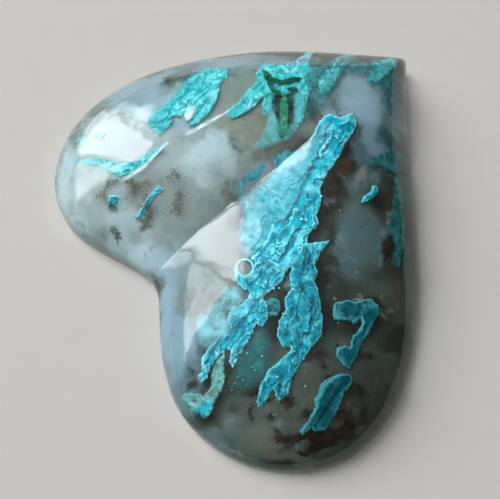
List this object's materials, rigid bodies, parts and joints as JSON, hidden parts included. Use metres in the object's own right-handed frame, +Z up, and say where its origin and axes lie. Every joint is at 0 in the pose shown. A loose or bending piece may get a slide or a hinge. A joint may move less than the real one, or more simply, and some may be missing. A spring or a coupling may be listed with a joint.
{
  "type": "heart-shaped chrysocolla in chalcedony cabochon",
  "caption": "Polished heart cabochon of translucent chalcedony with a domed face, a crease at the cleft, a thin girdle and a flat back to rest or set on.",
  "frame": {"origin": "middle of the flat back's bounding box, on the surface that the stone rests on", "axes": "+Z up through the dome, the heart's point towards -Y and its cleft towards +Y"},
  "size_m": [0.0368, 0.036, 0.0068],
  "materials": {
    "polished_chalcedony": "polished, translucent, grey-blue with turquoise, green and brown inclusions"
  },
  "bodies": {
    "root": {"heart_cabochon": "polished_chalcedony"}
  },
  "joints": []
}
